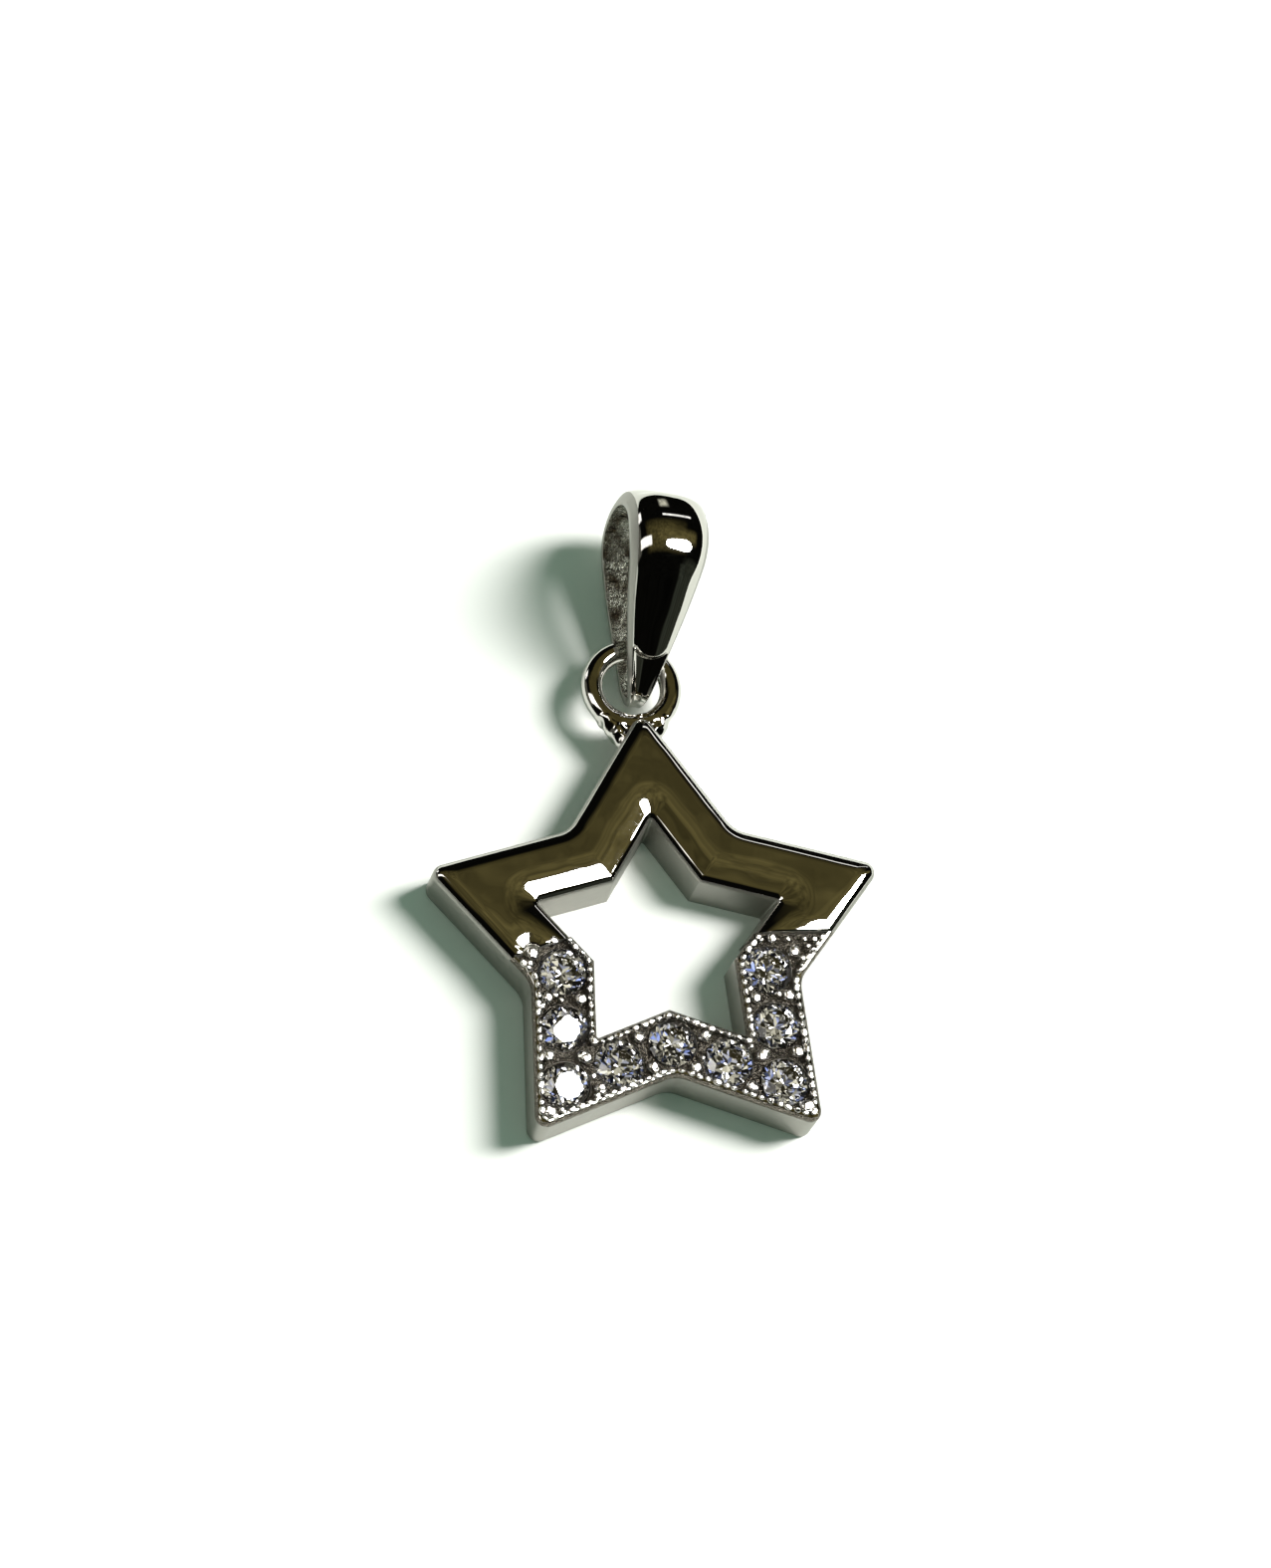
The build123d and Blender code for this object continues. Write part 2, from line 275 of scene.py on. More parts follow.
def polishedRhodium():
    # rhodium plate on silver, buffed: a bright grey mirror with soft waves and hairline scratches
    values = {"Base Color": hexColour("c6c4be"), "Metallic": 1}
    material, tree, shader = newMaterial("rhodium_plate_buffed", values)
    roughen(tree, shader, size=1.6, depth=0.04, detail=1)
    place = addNode(tree, "ShaderNodeTexCoord").outputs["Object"]
    sockets = {"Vector": place, "Rotation": (0, 0, 0.5), "Scale": (0.12, 1, 1)}
    stretched = addNode(tree, "ShaderNodeMapping", sockets).outputs["Vector"]
    scratchWidth = 0.05  # real hairlines are too fine to show, so these are coarser
    sockets = {"Vector": stretched, "Scale": 1 / (scratchWidth * mm), "Detail": 2, "Roughness": 0.5}
    scratch = addNode(tree, "ShaderNodeTexNoise", sockets).outputs["Fac"]
    sockets = {"Value": scratch, "From Min": 0.45, "From Max": 0.75, "To Min": 0.02, "To Max": 0.06}
    rough = addNode(tree, "ShaderNodeMapRange", sockets).outputs["Result"]
    tree.links.new(rough, shader.inputs["Roughness"])
    return material


def castSilver():
    # silver as it comes from the mould, under thin rhodium: grey and grainy, with bright specks
    values = {"Base Color": hexColour("746f65"), "Metallic": 1, "Roughness": 0.17}
    material, tree, shader = newMaterial("silver_as_cast", values)
    roughen(tree, shader, size=0.13, depth=0.22, roughness=0.6)
    return material


def unpolishedInside():
    # inside of the bail, which no wheel reaches: dark brown and grey patches, coarse and glittering
    values = {"Metallic": 1, "Roughness": 0.12}
    material, tree, shader = newMaterial("silver_unpolished_inside", values)
    place = addNode(tree, "ShaderNodeTexCoord").outputs["Object"]
    patchSize = 0.7
    sockets = {"Vector": place, "Scale": 1 / (patchSize * mm), "Detail": 4, "Roughness": 0.6}
    spots = addNode(tree, "ShaderNodeTexNoise", sockets).outputs["Fac"]
    sockets = {"Value": spots, "From Min": 0.38, "From Max": 0.62, "To Min": 0, "To Max": 1}
    patches = addNode(tree, "ShaderNodeMapRange", sockets).outputs["Result"]
    sockets = {"Factor": patches, "A": hexColour("4b4131"), "B": hexColour("c6c8bc")}
    colour = addNode(tree, "ShaderNodeMix", sockets, data_type="RGBA").outputs["Result"]
    tree.links.new(colour, shader.inputs["Base Color"])
    roughen(tree, shader, size=0.2, depth=0.3, roughness=0.6)
    return material


def filedRhodium():
    # rhodium plate on the walls, which were filed but not buffed: greyer and softer, with a fine grain
    values = {"Base Color": hexColour("a09f98"), "Metallic": 1, "Roughness": 0.48}
    material, tree, shader = newMaterial("rhodium_plate_filed", values)
    # coarser than real file marks, which would be too fine to show
    roughen(tree, shader, size=0.25, depth=0.014)
    return material


def burnishedSilver():
    # beads pushed up and rolled with steel tools: bright, but softer than the buffed face
    values = {"Base Color": hexColour("dedbd4"), "Metallic": 1, "Roughness": 0.18}
    material, tree, shader = newMaterial("silver_burnished", values)
    roughen(tree, shader, size=0.1, depth=0.03, detail=2)
    return material


def cubicZirconia():
    # clear cubic zirconia, cut and polished: strong flashes, dark and light facets side by side
    values = {"Base Color": hexColour("fbfbfc"), "Roughness": 0.0, "IOR": 2.15, "Transmission Weight": 1}
    return newMaterial("cubic_zirconia_cut", values)[0]


def mattBoard():
    # white card board that the pendant lies on: matt, with no gloss to speak of
    values = {"Base Color": hexColour("ecebe6"), "Roughness": 0.9, "Specular IOR Level": 0.1}
    return newMaterial("matt_white_board", values)[0]


polished = polishedRhodium()
cast = castSilver()
filed = filedRhodium()
inside = unpolishedInside()
burnished = burnishedSilver()
zirconia = cubicZirconia()

stoneNames = [name for name in sorted(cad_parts) if name.startswith("stone_")]


def stonePlace(name):
    low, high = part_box(name)
    middle = ((low + high) / 2 - starMiddle) / mm
    return Vector((middle.x, middle.y, 0))


stonePlaces = [stonePlace(name) for name in stoneNames]
stoneRadius = max(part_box(name)[1].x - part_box(name)[0].x for name in stoneNames) / mm / 2

# Polished upper part of the star, which ends where the pave starts on each leg
polishedBand = {
    "outerRollWidth": 0.48,  # worn round by the buffing wheel
    "outerRollDepth": 0.34,
    "outerSteps": 14,
    "tipKept": 0.5,  # least share of a point's rounding that is left on the rolled edge
    "slope": 13,  # towards the hole the top leans down after a gentle bend
    "slopeBend": 0.55,
    "slopeRun": 0.3,
    "innerRoll": 0.28,
    "bendSteps": 10,
    "flatMargin": 0.03,  # narrow flat faces beside the rolls keep the shading of the top even
    "cornerSoften": 0.85,
    "holeDraft": 0.1,  # the hole narrows that much towards the back
    "backEdge": 0.08,
    "backSteps": 3,
    "rollSteps": 12,
    "endBend": 0.08,  # the same slope at the end of the polish
    "endRun": 0.24,
    "endRoll": 0.12,
    "endSteps": 6,
    "stoneHollow": 0.08,  # hollows in that end round the first stone and bead
    "beadHollow": 0.06,
    "hollowSteps": 36,
    "cutPast": 0.001,  # the cuts end that much above the top
    "leftStartGap": 0.22,  # from the first stone's edge to the end of the polish
    "leftLean": 20,
    "rightStartGap": 0.4,
    "rightLean": 0,
}


def rollSteps(width, steps, depth=None):
    # from the foot of a rounded edge to its top: how far in, and how far under the top
    turns = [math.pi / 2 * step / steps for step in range(steps + 1)]
    depth = depth or width
    return [(width * (1 - math.cos(turn)), depth * (1 - math.sin(turn))) for turn in turns]


def slopedEdge(roll, run, bend, steps):
    # from the foot of a rolled edge, up a slope and over a gentle bend to the flat top
    lean = math.radians(polishedBand["slope"])
    bendRadius = bend / math.sin(lean)
    bendDrop = bendRadius * (1 - math.cos(lean))
    rollMiddle = bendDrop + run * math.tan(lean) + roll * math.cos(lean)
    edge = []
    for step in range(steps + 1):
        turn = math.pi / 2 - (math.pi / 2 - lean) * step / steps
        edge.append((roll * (1 - math.sin(turn)), rollMiddle - roll * math.cos(turn)))
    start = edge[-1][0] + run
    steps = polishedBand["bendSteps"]
    for step in range(steps + 1):
        turn = lean * (1 - step / steps)
        edge.append((start + bend - bendRadius * math.sin(turn), bendRadius * (1 - math.cos(turn))))
    return edge


def outerOutlines(edge, top):
    # the outer wall, from the back to the top of its rounded edge
    outlines = []
    for inward, down in rollSteps(polishedBand["backEdge"], polishedBand["backSteps"])[::-1]:
        outlines.append(roundedStar(inward, star["tipRound"] - inward, star["notchRound"] + inward, down))
    for inward, down in edge:
        tipRound = max(star["tipRound"] - inward, polishedBand["tipKept"] * star["tipRound"])
        outlines.append(roundedStar(inward, tipRound, star["notchRound"] + inward, top - down))
    return outlines


def startHeight(across, side):
    # height of the line where the polish ends, that far across on the left or the right leg
    stone = stonePlaces[0] if side == "left" else stonePlaces[-1]
    slope = math.tan(math.radians(polishedBand[side + "Lean"]))
    height = stone.y + stoneRadius + polishedBand[side + "StartGap"]
    return height - (abs(across) - abs(stone.x)) * slope


def isBelowStart(spot, gap):
    # whether a place lies in the pave, more than the gap below that line
    return spot.y < startHeight(spot.x, "left" if spot.x < 0 else "right") - gap


def cutterSteps(edge, z):
    # how far out a cutter reaches at each height, from z up. It flares like the edge that it leaves.
    steps = [(0, z)] + [(out, star["thickness"] - down) for out, down in edge[:-1]]
    if edge:
        steps.append((edge[-1][0], star["thickness"] + polishedBand["cutPast"]))
    return steps + [(steps[-1][0], 2 * star["thickness"])]


def zoneBlock(edge=()):
    # all that lies below the lines where the pave starts
    far = 3 * star["tipRadius"]
    ends = ((far, "right"), (0, "right"), (0, "left"), (-far, "left"))
    line = [Vector((across, startHeight(across, side), 0)) for across, side in ends]
    outlines = []
    for up, z in cutterSteps(edge, -star["thickness"]):
        corners = [corner + Vector((0, up, z)) for corner in line]
        corners += [Vector((-far, -far, z)), Vector((far, -far, z))]
        outlines.append(corners)
    return skin("zone", outlines, closed=False)


def roundCutter(place, radius, edge):
    # a round hollow, from the floor of the pave up
    count = polishedBand["hollowSteps"]
    outlines = []
    for out, z in cutterSteps(edge, star["thickness"] - pave["floorDepth"]):
        circle = [onCircle(radius + out, 360 * step / count) for step in range(count)]
        outlines.append([place + spot + Vector((0, 0, z)) for spot in circle])
    return skin("hollow", outlines, closed=False)


def startBeads(radius, degrees):
    # places of a bead beside the first stone of each leg
    beads = []
    for side, stone in ((-1, stonePlaces[0]), (1, stonePlaces[-1])):
        step = onCircle(stoneRadius + grains["stoneGap"] + radius, degrees)
        beads.append(stone + Vector((side * step.x, step.y, 0)))
    return beads


def makePolishedStar():
    margin = polishedBand["flatMargin"]
    rolled = rollSteps(*(polishedBand[key] for key in ("outerRollWidth", "outerSteps", "outerRollDepth")))
    rolled.append((rolled[-1][0] + margin, 0))
    outlines = outerOutlines(rolled, star["thickness"])
    sloped = slopedEdge(*(polishedBand[key] for key in ("innerRoll", "slopeRun", "slopeBend", "rollSteps")))
    sloped.append((sloped[-1][0] + margin, 0))
    for inward, down in sloped[::-1]:
        soften = inward * polishedBand["cornerSoften"]
        outlines.append(holeOutline(star["bandWidth"] - inward, star["thickness"] - down, soften))
    outlines.append(holeOutline(star["bandWidth"] + polishedBand["holeDraft"], 0))
    body = skin("polished_star", outlines)
    endEdge = slopedEdge(*(polishedBand[key] for key in ("endRoll", "endRun", "endBend", "endSteps")))
    cutAway(body, zoneBlock(endEdge))
    for place in (stonePlaces[0], stonePlaces[-1]):
        cutAway(body, roundCutter(place, stoneRadius + polishedBand["stoneHollow"], endEdge))
    for place in startBeads(grains["startRadius"], grains["startAngle"]):
        cutAway(body, roundCutter(place, grains["startRadius"] + polishedBand["beadHollow"], endEdge))
    return body


# Bed of the pave: a channel between two thin rims, with a seat for each stone
pave = {
    "rimWidth": 0.16,
    "rimEdge": 0.15,
    "edgeSteps": 4,
    "floorDepth": 0.27,
    "seatGap": 0.03,
    "seatAngle": 41,
    "seatTurn": 3,  # keeps a seat's facets off the corners of the rims
    "seatRise": 0.6,  # the cutter goes on upwards past the top
    "girdleDrop": 0.26,  # from a stone's table to its girdle
}


def makeSeat(place):
    # what is cut out under a stone: a cone, and a straight rise over it
    radius = stoneRadius + pave["seatGap"]
    depth = radius * math.tan(math.radians(pave["seatAngle"]))
    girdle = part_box(stoneNames[0])[1].z / mm - pave["girdleDrop"]
    deselectAll()
    bpy.ops.mesh.primitive_cone_add(vertices=32, radius1=0, radius2=radius, depth=depth,
                                    location=(place.x, place.y, girdle - depth / 2),
                                    rotation=(0, 0, math.radians(pave["seatTurn"])))
    cone = bpy.context.object
    openPiece(cone)
    pick(cone, "FACE", lambda face: face.normal.z > 0.9)
    bpy.ops.mesh.extrude_region_move(TRANSFORM_OT_translate={"value": (0, 0, pave["seatRise"])})
    closePiece()
    choose(cone)
    bpy.ops.object.transform_apply(location=True, rotation=True, scale=True)
    return cone


def makePaveBed():
    top = star["thickness"] - milgrain["rimDrop"]
    floor = star["thickness"] - pave["floorDepth"]
    outerRim = pave["rimWidth"]
    innerRim = star["bandWidth"] - pave["rimWidth"]
    edge = rollSteps(pave["rimEdge"], pave["edgeSteps"])
    outlines = outerOutlines(edge, top)
    for inset, z in ((outerRim, top), (outerRim, floor), (innerRim, floor), (innerRim, top)):
        outlines.append(holeOutline(inset, z))
    for inward, down in edge[::-1]:
        outlines.append(holeOutline(star["bandWidth"] - inward, top - down))
    outlines.append(holeOutline(star["bandWidth"], 0))
    body = skin("pave_bed", outlines)
    cutAway(body, zoneBlock(), "INTERSECT")
    cutAway(body, joinAll("seats", [makeSeat(place) for place in stonePlaces]))
    return body


# Wear of the beads: the top is rubbed flatter, and leans the way that the tool was pushed, in degrees
wear = {
    "from": 0.6,  # share of the height where the worn part starts
    "flatter": 0.3,
    "east": 9.4,
    "south": 12.9,
    "spread": 7,
    "rowSpread": 13,
}


def wearTop(master):
    for vertex in master.data.vertices:
        over = vertex.co.z - wear["from"]
        if over > 0:
            vertex.co.z = wear["from"] + over * wear["flatter"]


def leanTurn(degrees, spread):
    # a bead's own lean, after it was turned that much about the vertical
    east = math.radians(wear["east"] + random.uniform(-1, 1) * spread)
    south = math.radians(wear["south"] + random.uniform(-1, 1) * spread)
    lean = Matrix.Rotation(east, 4, "Y") @ Matrix.Rotation(south, 4, "X")
    return lean @ Matrix.Rotation(math.radians(degrees), 4, "Z")


def copyTo(master, place, turn, size):
    twin = master.copy()
    twin.data = master.data.copy()
    bpy.context.scene.collection.objects.link(twin)
    twin.data.transform(Matrix.Translation(place) @ turn @ Matrix.Diagonal((*size, 1)))
    return twin


# Milgrain: the row of beads that a knurled wheel leaves on each rim
milgrain = {
    "outerInset": 0.19,
    "innerInset": 0.17,
    "tipRound": 0.2,  # corners of the two rows
    "holeSoften": 0.1,
    "spacing": 0.27,
    "endGap": 0.12,  # from the end of the polish
    "width": 0.18,
    "length": 0.26,
    "height": 0.15,
    "sizes": (0.78, 1.1),  # smallest and largest, as shares of the width and length
    "rises": (0.42, 0.52),  # from a bead's middle to its top, as shares of the height
    "turnSpread": 12,
    "shift": 0.04,
    "rimDrop": 0.09,  # the rim under the beads
}


def beadRow(outline, spacing):
    # places and directions along the part of an outline that lies in the pave
    row = []
    walked = 0.0
    for start, end in zip(outline, outline[1:] + outline[:1]):
        start, end = Vector(start), Vector(end)
        length = (end - start).length
        while walked < length:
            spot = start.lerp(end, walked / length)
            if isBelowStart(spot, milgrain["endGap"]):
                row.append((spot, (end - start).normalized()))
            walked += spacing
        walked -= length
    return row


def makeMilgrain():
    deselectAll()
    bpy.ops.mesh.primitive_uv_sphere_add(segments=14, ring_count=10, radius=1)
    master = bpy.context.object
    wearTop(master)
    beads = []
    z = star["thickness"] - milgrain["height"] / 2
    outer = roundedStar(milgrain["outerInset"], milgrain["tipRound"], star["notchRound"], z)
    inner = holeOutline(star["bandWidth"] - milgrain["innerInset"], z, milgrain["holeSoften"])
    for outline in (outer, inner):
        for spot, along in beadRow(outline, milgrain["spacing"]):
            degrees = math.degrees(math.atan2(along.y, along.x))
            degrees += random.uniform(-milgrain["turnSpread"], milgrain["turnSpread"])
            turn = leanTurn(degrees, wear["rowSpread"])
            grow = random.uniform(*milgrain["sizes"]) / 2
            rise = milgrain["height"] * random.uniform(*milgrain["rises"])
            size = (milgrain["length"] * grow, milgrain["width"] * grow, rise)
            shift = along * random.uniform(-milgrain["shift"], milgrain["shift"])
            beads.append(copyTo(master, spot + shift, turn, size))
    bpy.data.objects.remove(master)
    return joinAll("milgrain_beads", beads)


# Grains: beads of metal pushed up to hold the stones
grains = {
    "radius": 0.18,
    "flatness": 0.72,  # height of the round head against its width
    "sizes": (0.93, 1.05),
    "narrowest": 0.85,
    "drop": 0.03,  # top of a grain under the face of the star
    "postStart": -0.5,  # where the head ends and the length of the post, as shares of the radius
    "post": 1.6,
    "postFlare": 1.25,  # its foot against its neck
    "rimGap": 0.1,
    "stoneGap": 0.09,
    "tipRadius": 0.24,
    "tipGap": 0.05,
    "tipStones": 5,  # stones further out than this are in the points of the star
    "startRadius": 0.2,
    "startAngle": 32,
    "nextRadius": 0.14,  # a smaller bead further up
    "nextAngle": 78,
    "smallSizes": (0.07, 0.12),  # small beads raised wherever there was room
    "smallGap": 0.02,
    "smallCrowding": 0.9,  # they may overlap a little
    "smallTries": 1500,
}


def insetOf(place):
    # how far a place lies inside the sharp outline of the star
    pointTurn = 360 / star["points"]
    turn = math.degrees(math.atan2(place.x, place.y)) % pointTurn
    folded = onCircle(place.length, min(turn, pointTurn - turn))
    along = notchCorner - tipCorner
    return along.normalized().cross(folded - tipCorner).z


def grainPlaces():
    rows = []
    offset = star["bandWidth"] / 2 - pave["rimWidth"] - grains["rimGap"] - grains["radius"]
    for start, end in zip(stonePlaces, stonePlaces[1:]):
        along = (end - start).normalized()
        for side in (1, -1):
            across = side * offset * Vector((-along.y, along.x, 0))
            rows.append((grains["radius"], (start + end) / 2 + across))
    for stone in stonePlaces:
        if stone.length > grains["tipStones"]:
            reach = stoneRadius + grains["tipGap"] + grains["tipRadius"]
            rows.append((grains["tipRadius"], stone + stone.normalized() * reach))
    for kind in ("start", "next"):
        radius = grains[kind + "Radius"]
        rows += [(radius, place) for place in startBeads(radius, grains[kind + "Angle"])]
    corner = Vector([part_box("star_frame")[1].x / mm] * 2)  # of the square that places are drawn in
    crowding = grains["smallCrowding"]
    for step in range(grains["smallTries"]):
        radius = random.uniform(*grains["smallSizes"])
        spot = Vector((random.uniform(-corner.x, corner.x), random.uniform(-corner.y, corner.y), 0))
        margin = pave["rimWidth"] + radius + grains["smallGap"]
        free = margin < insetOf(spot) < star["bandWidth"] - margin and isBelowStart(spot, radius)
        free = free and all((spot - stone).length > stoneRadius + radius for stone in stonePlaces)
        if free and all((spot - place).length > crowding * (radius + other) for other, place in rows):
            rows.append((radius, spot))
    return rows


def makeGrains():
    # one grain is a post that swells to a round head
    deselectAll()
    bpy.ops.mesh.primitive_uv_sphere_add(segments=20, ring_count=12, radius=1)
    master = bpy.context.object
    openPiece(master)
    pick(master, "FACE", lambda face: face.calc_center_median().z < grains["postStart"])
    bpy.ops.mesh.delete(type="FACE")
    pick(master, "EDGE", lambda edge: edge.is_boundary)
    bpy.ops.mesh.extrude_edges_move(TRANSFORM_OT_translate={"value": (0, 0, -grains["post"])})
    bpy.ops.transform.resize(value=(grains["postFlare"], grains["postFlare"], 1))
    bpy.ops.mesh.edge_face_add()
    closePiece()
    wearTop(master)
    beads = []
    for radius, place in grainPlaces():
        grow = radius * random.uniform(*grains["sizes"])
        high = grow * grains["flatness"]
        worn = high * (wear["from"] + (1 - wear["from"]) * wear["flatter"])
        turn = leanTurn(random.uniform(0, 360), wear["spread"])
        size = (grow, grow * random.uniform(grains["narrowest"], 1.0), high)
        spot = Vector((place.x, place.y, star["thickness"] - grains["drop"] - worn))
        beads.append(copyTo(master, spot, turn, size))
    bpy.data.objects.remove(master)
    return joinAll("setting_grains", beads)


# Closed ring at the top point, with the two flanks of its soldered foot
ring = {
    "innerRadius": 0.88,
    "wire": 0.62,
    "shift": -0.14,
    "height": 1.0,
    "neckLean": 32,
    "neckWeb": 0.46,
    "neckEnd": 0.34,
    "neckThinner": 0.02,
    "webSteps": 8,
    "flatDrop": 0.008,  # filed flat above and below
    "regain": 0.014,  # what the smoothing takes off
    "solderHeight": 0.75,  # under the middle of the ring
    "solderSize": 0.24,
    "solderDepth": 0.05,
    "voxel": 0.03,
    "slab": 8,  # what is kept between the filed faces, wider than the ring and its flanks
}
ringRadius = ring["innerRadius"] + ring["wire"] / 2
ringTop = (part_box("star_frame")[1].y - starMiddle.y) / mm
ringMiddle = Vector((ring["shift"], ringTop - ringRadius - ring["wire"] / 2, ring["height"]))


def rodBetween(start, end, radius):
    along = end - start
    deselectAll()
    bpy.ops.mesh.primitive_cylinder_add(vertices=32, radius=radius, depth=along.length)
    rod = bpy.context.object
    turn = along.to_track_quat("Z", "Y").to_matrix().to_4x4()
    rod.data.transform(Matrix.Translation((start + end) / 2) @ turn)
    return rod


def makeFlanks():
    # two rods from the ring to the sides of the point, and the web of metal between them
    lean = math.radians(ring["neckLean"])
    meet = Vector((ringRadius * math.cos(lean), -ringRadius * math.sin(lean), 0))
    overSide = ringMiddle.y + meet.y - star["tipRadius"] + meet.x / math.tan(halfTip)
    length = overSide / (math.cos(lean) + math.sin(lean) / math.tan(halfTip)) + ring["neckEnd"]
    parts = []
    corners = []
    for side in (-1, 1):
        high = ringMiddle + Vector((side * meet.x, meet.y, 0))
        low = high + length * Vector((-side * math.sin(lean), -math.cos(lean), 0))
        parts.append(rodBetween(high, low, (ring["wire"] - ring["neckThinner"]) / 2))
        corners += [high, low] if side < 0 else [low, high]
    arch = []
    for step in range(ring["webSteps"] + 1):
        angle = math.radians(-90) + (step / ring["webSteps"] - 0.5) * 2 * (math.pi / 2 - lean)
        arch.append(ringMiddle + ringRadius * Vector((math.cos(angle), math.sin(angle), 0)))
    outline = [corners[1], corners[2], *arch[::-1]]
    lids = [Vector((0, 0, side * ring["neckWeb"] / 2)) for side in (-1, 1)]
    parts.append(skin("web", [[point + lid for point in outline] for lid in lids], closed=False))
    return parts


def makeRing():
    deselectAll()
    bpy.ops.mesh.primitive_torus_add(major_segments=96, minor_segments=32,
                                     major_radius=ringRadius, minor_radius=ring["wire"] / 2)
    hoop = bpy.context.object
    hoop.data.transform(Matrix.Translation(ringMiddle))
    piece = joinAll("hanging_ring", [hoop, *makeFlanks()])
    applyModifier(piece, "REMESH", mode="VOXEL", voxel_size=ring["voxel"])
    # filed flat on top and underneath, then rubbed smooth
    thick = ring["wire"] - 2 * ring["flatDrop"]
    deselectAll()
    bpy.ops.mesh.primitive_cube_add(size=1, location=ringMiddle, scale=(ring["slab"], ring["slab"], thick))
    cutAway(piece, bpy.context.object, "INTERSECT")
    applyModifier(piece, "SMOOTH", factor=0.5, iterations=6)
    applyModifier(piece, "DISPLACE", strength=ring["regain"], mid_level=0)
    # the solder has run unevenly over the flanks
    for vertex in piece.data.vertices:
        low = ringMiddle.y - ring["solderHeight"] - vertex.co.y
        if low > 0:
            uneven = noise_vector(vertex.co / ring["solderSize"])
            vertex.co += uneven * ring["solderDepth"] * min(1, low / ring["solderSize"])
    return piece


# Loose bail: a flat teardrop loop with a domed face, wide at the top and narrow at the ring
bail = {
    "depth": 4.2,
    "footPlay": 0.74,
    "reach": 3.98,
    "width": 2.46,
    "footWidth": 0.46,
    "fullShare": 0.75,
    "flare": 1.2,
    "dome": 1.5,
    "footDome": 2.2,
    "domeSteps": 8,
    "domeRound": 3,  # the dome falls off late, towards its rims
    "rail": 0.15,  # steep rails on both sides of the dome
    "footRail": 0.07,
    "railDrop": 0.28,
    "footRailDrop": 0.14,
    "railBend": 0.3,
    "railEdge": 0.03,
    "side": 0.18,
    "footSide": 0.14,
    "edge": 0.04,  # rounding of the inside's edges
    "edgeCut": 0.3,  # share of it that its corner is cut back
    "insidePoints": (0.5, 0.2),  # places across the flat inside, as shares of half its width
    "domeStart": 0.215,  # the dome ends above the ring, and before the top of the loop
    "domeBow": 0.045,
    "domeStop": 0.9,
    "domeLeft": 0.4,  # share of its height that is left there
    "domeBlend": 0.02,
    "groove": 0.17,  # hollow between the rails, under the dome
    "turn": 8.6,
    "lean": 8.0,
    "steps": 48,  # sections from the foot to the top
    "endSteps": 24,  # more of them where the dome ends
    "sideSteps": 60,  # sections that tell the sides from the dome
    "insideFacing": -0.7,
}
bailFoot = (ring["wire"] + bail["footPlay"]) / 2
bailPitch = math.asin((bail["depth"] / 2 - bailFoot) / bail["reach"])


def bailPoint(share):
    # place on the side view and its outward angle, from the foot at 0 to the top at 1
    top = bail["depth"] / 2
    footArc = bailFoot * (math.pi / 2 - bailPitch)
    straight = bail["reach"] * math.cos(bailPitch)
    topArc = top * (math.pi / 2 + bailPitch)
    walked = share * (footArc + straight + topArc)
    if walked < footArc:
        angle = math.pi - walked / bailFoot
        return Vector((0, bailFoot * math.cos(angle), bailFoot * math.sin(angle))), angle
    angle = math.pi / 2 + bailPitch
    if walked < footArc + straight:
        gone = walked - footArc
        along = Vector((0, math.cos(bailPitch), math.sin(bailPitch))) * gone
        return Vector((0, bailFoot * math.cos(angle), bailFoot * math.sin(angle))) + along, angle
    angle -= (walked - footArc - straight) / top
    return Vector((0, bail["reach"] + top * math.cos(angle), top * math.sin(angle))), angle


def smooth(value):
    value = min(1.0, max(0.0, value))
    return value * value * (3 - 2 * value)


def bailGrown(share):
    return math.sin(min(1.0, share / bail["fullShare"]) * math.pi / 2) ** bail["flare"]


def bailWidths(share):
    # half of the whole width, the rail and half of the dome's width
    grown = bailGrown(share)
    half = (bail["footWidth"] + (bail["width"] - bail["footWidth"]) * grown) / 2
    rail = bail["footRail"] + (bail["rail"] - bail["footRail"]) * grown
    return half, rail, half - rail


def bailProfile(place, share):
    # section of the loop: dome or groove, a rail and a side on each hand, and the flat inside
    grown = bailGrown(place)

    def between(foot, top):
        return foot + (top - foot) * grown

    half, rail, pad = bailWidths(place)
    crown = half * between(bail["footDome"], bail["dome"])
    sag = crown - math.sqrt(crown ** 2 - pad ** 2)
    right = []
    for step in range(bail["domeSteps"] + 1):
        across = pad * step / bail["domeSteps"]
        gone = (step / bail["domeSteps"]) ** bail["domeRound"]
        start = smooth((share - bail["domeStart"] - bail["domeBow"] * gone) / bail["domeBlend"])
        stop = smooth((bail["domeStop"] - share) / bail["domeBlend"] / 2)
        hump = sag * (1 - gone) * min(start, bail["domeLeft"] + (1 - bail["domeLeft"]) * stop)
        right.append((across, hump - sag - bail["groove"] * (1 - gone) * (1 - start)))
    low = -sag - between(bail["footRailDrop"], bail["railDrop"])
    foot = low - between(bail["footSide"], bail["side"])
    bend = bail["railBend"]
    edge = bail["edge"]
    cut = edge * bail["edgeCut"]
    right += [(half - bend * rail, low + bend * (-sag - low)), (half, low), (half, low - bail["railEdge"])]
    right += [(half, foot + edge), (half - cut, foot + cut), (half - edge, foot)]
    right += [(half * part, foot) for part in bail["insidePoints"]]
    left = [(-across, out) for across, out in right[:0:-1]]
    return right + left


def bailOutline(share, front):
    point, angle = bailPoint(share)
    outward = Vector((0, math.cos(angle), math.sin(angle)))
    outline = []
    for across, out in bailProfile(share, share if front > 0 else 1.0):
        spot = point + Vector((across, 0, 0)) + outward * out
        outline.append(Vector((spot.x, spot.y, front * spot.z)))
    return outline


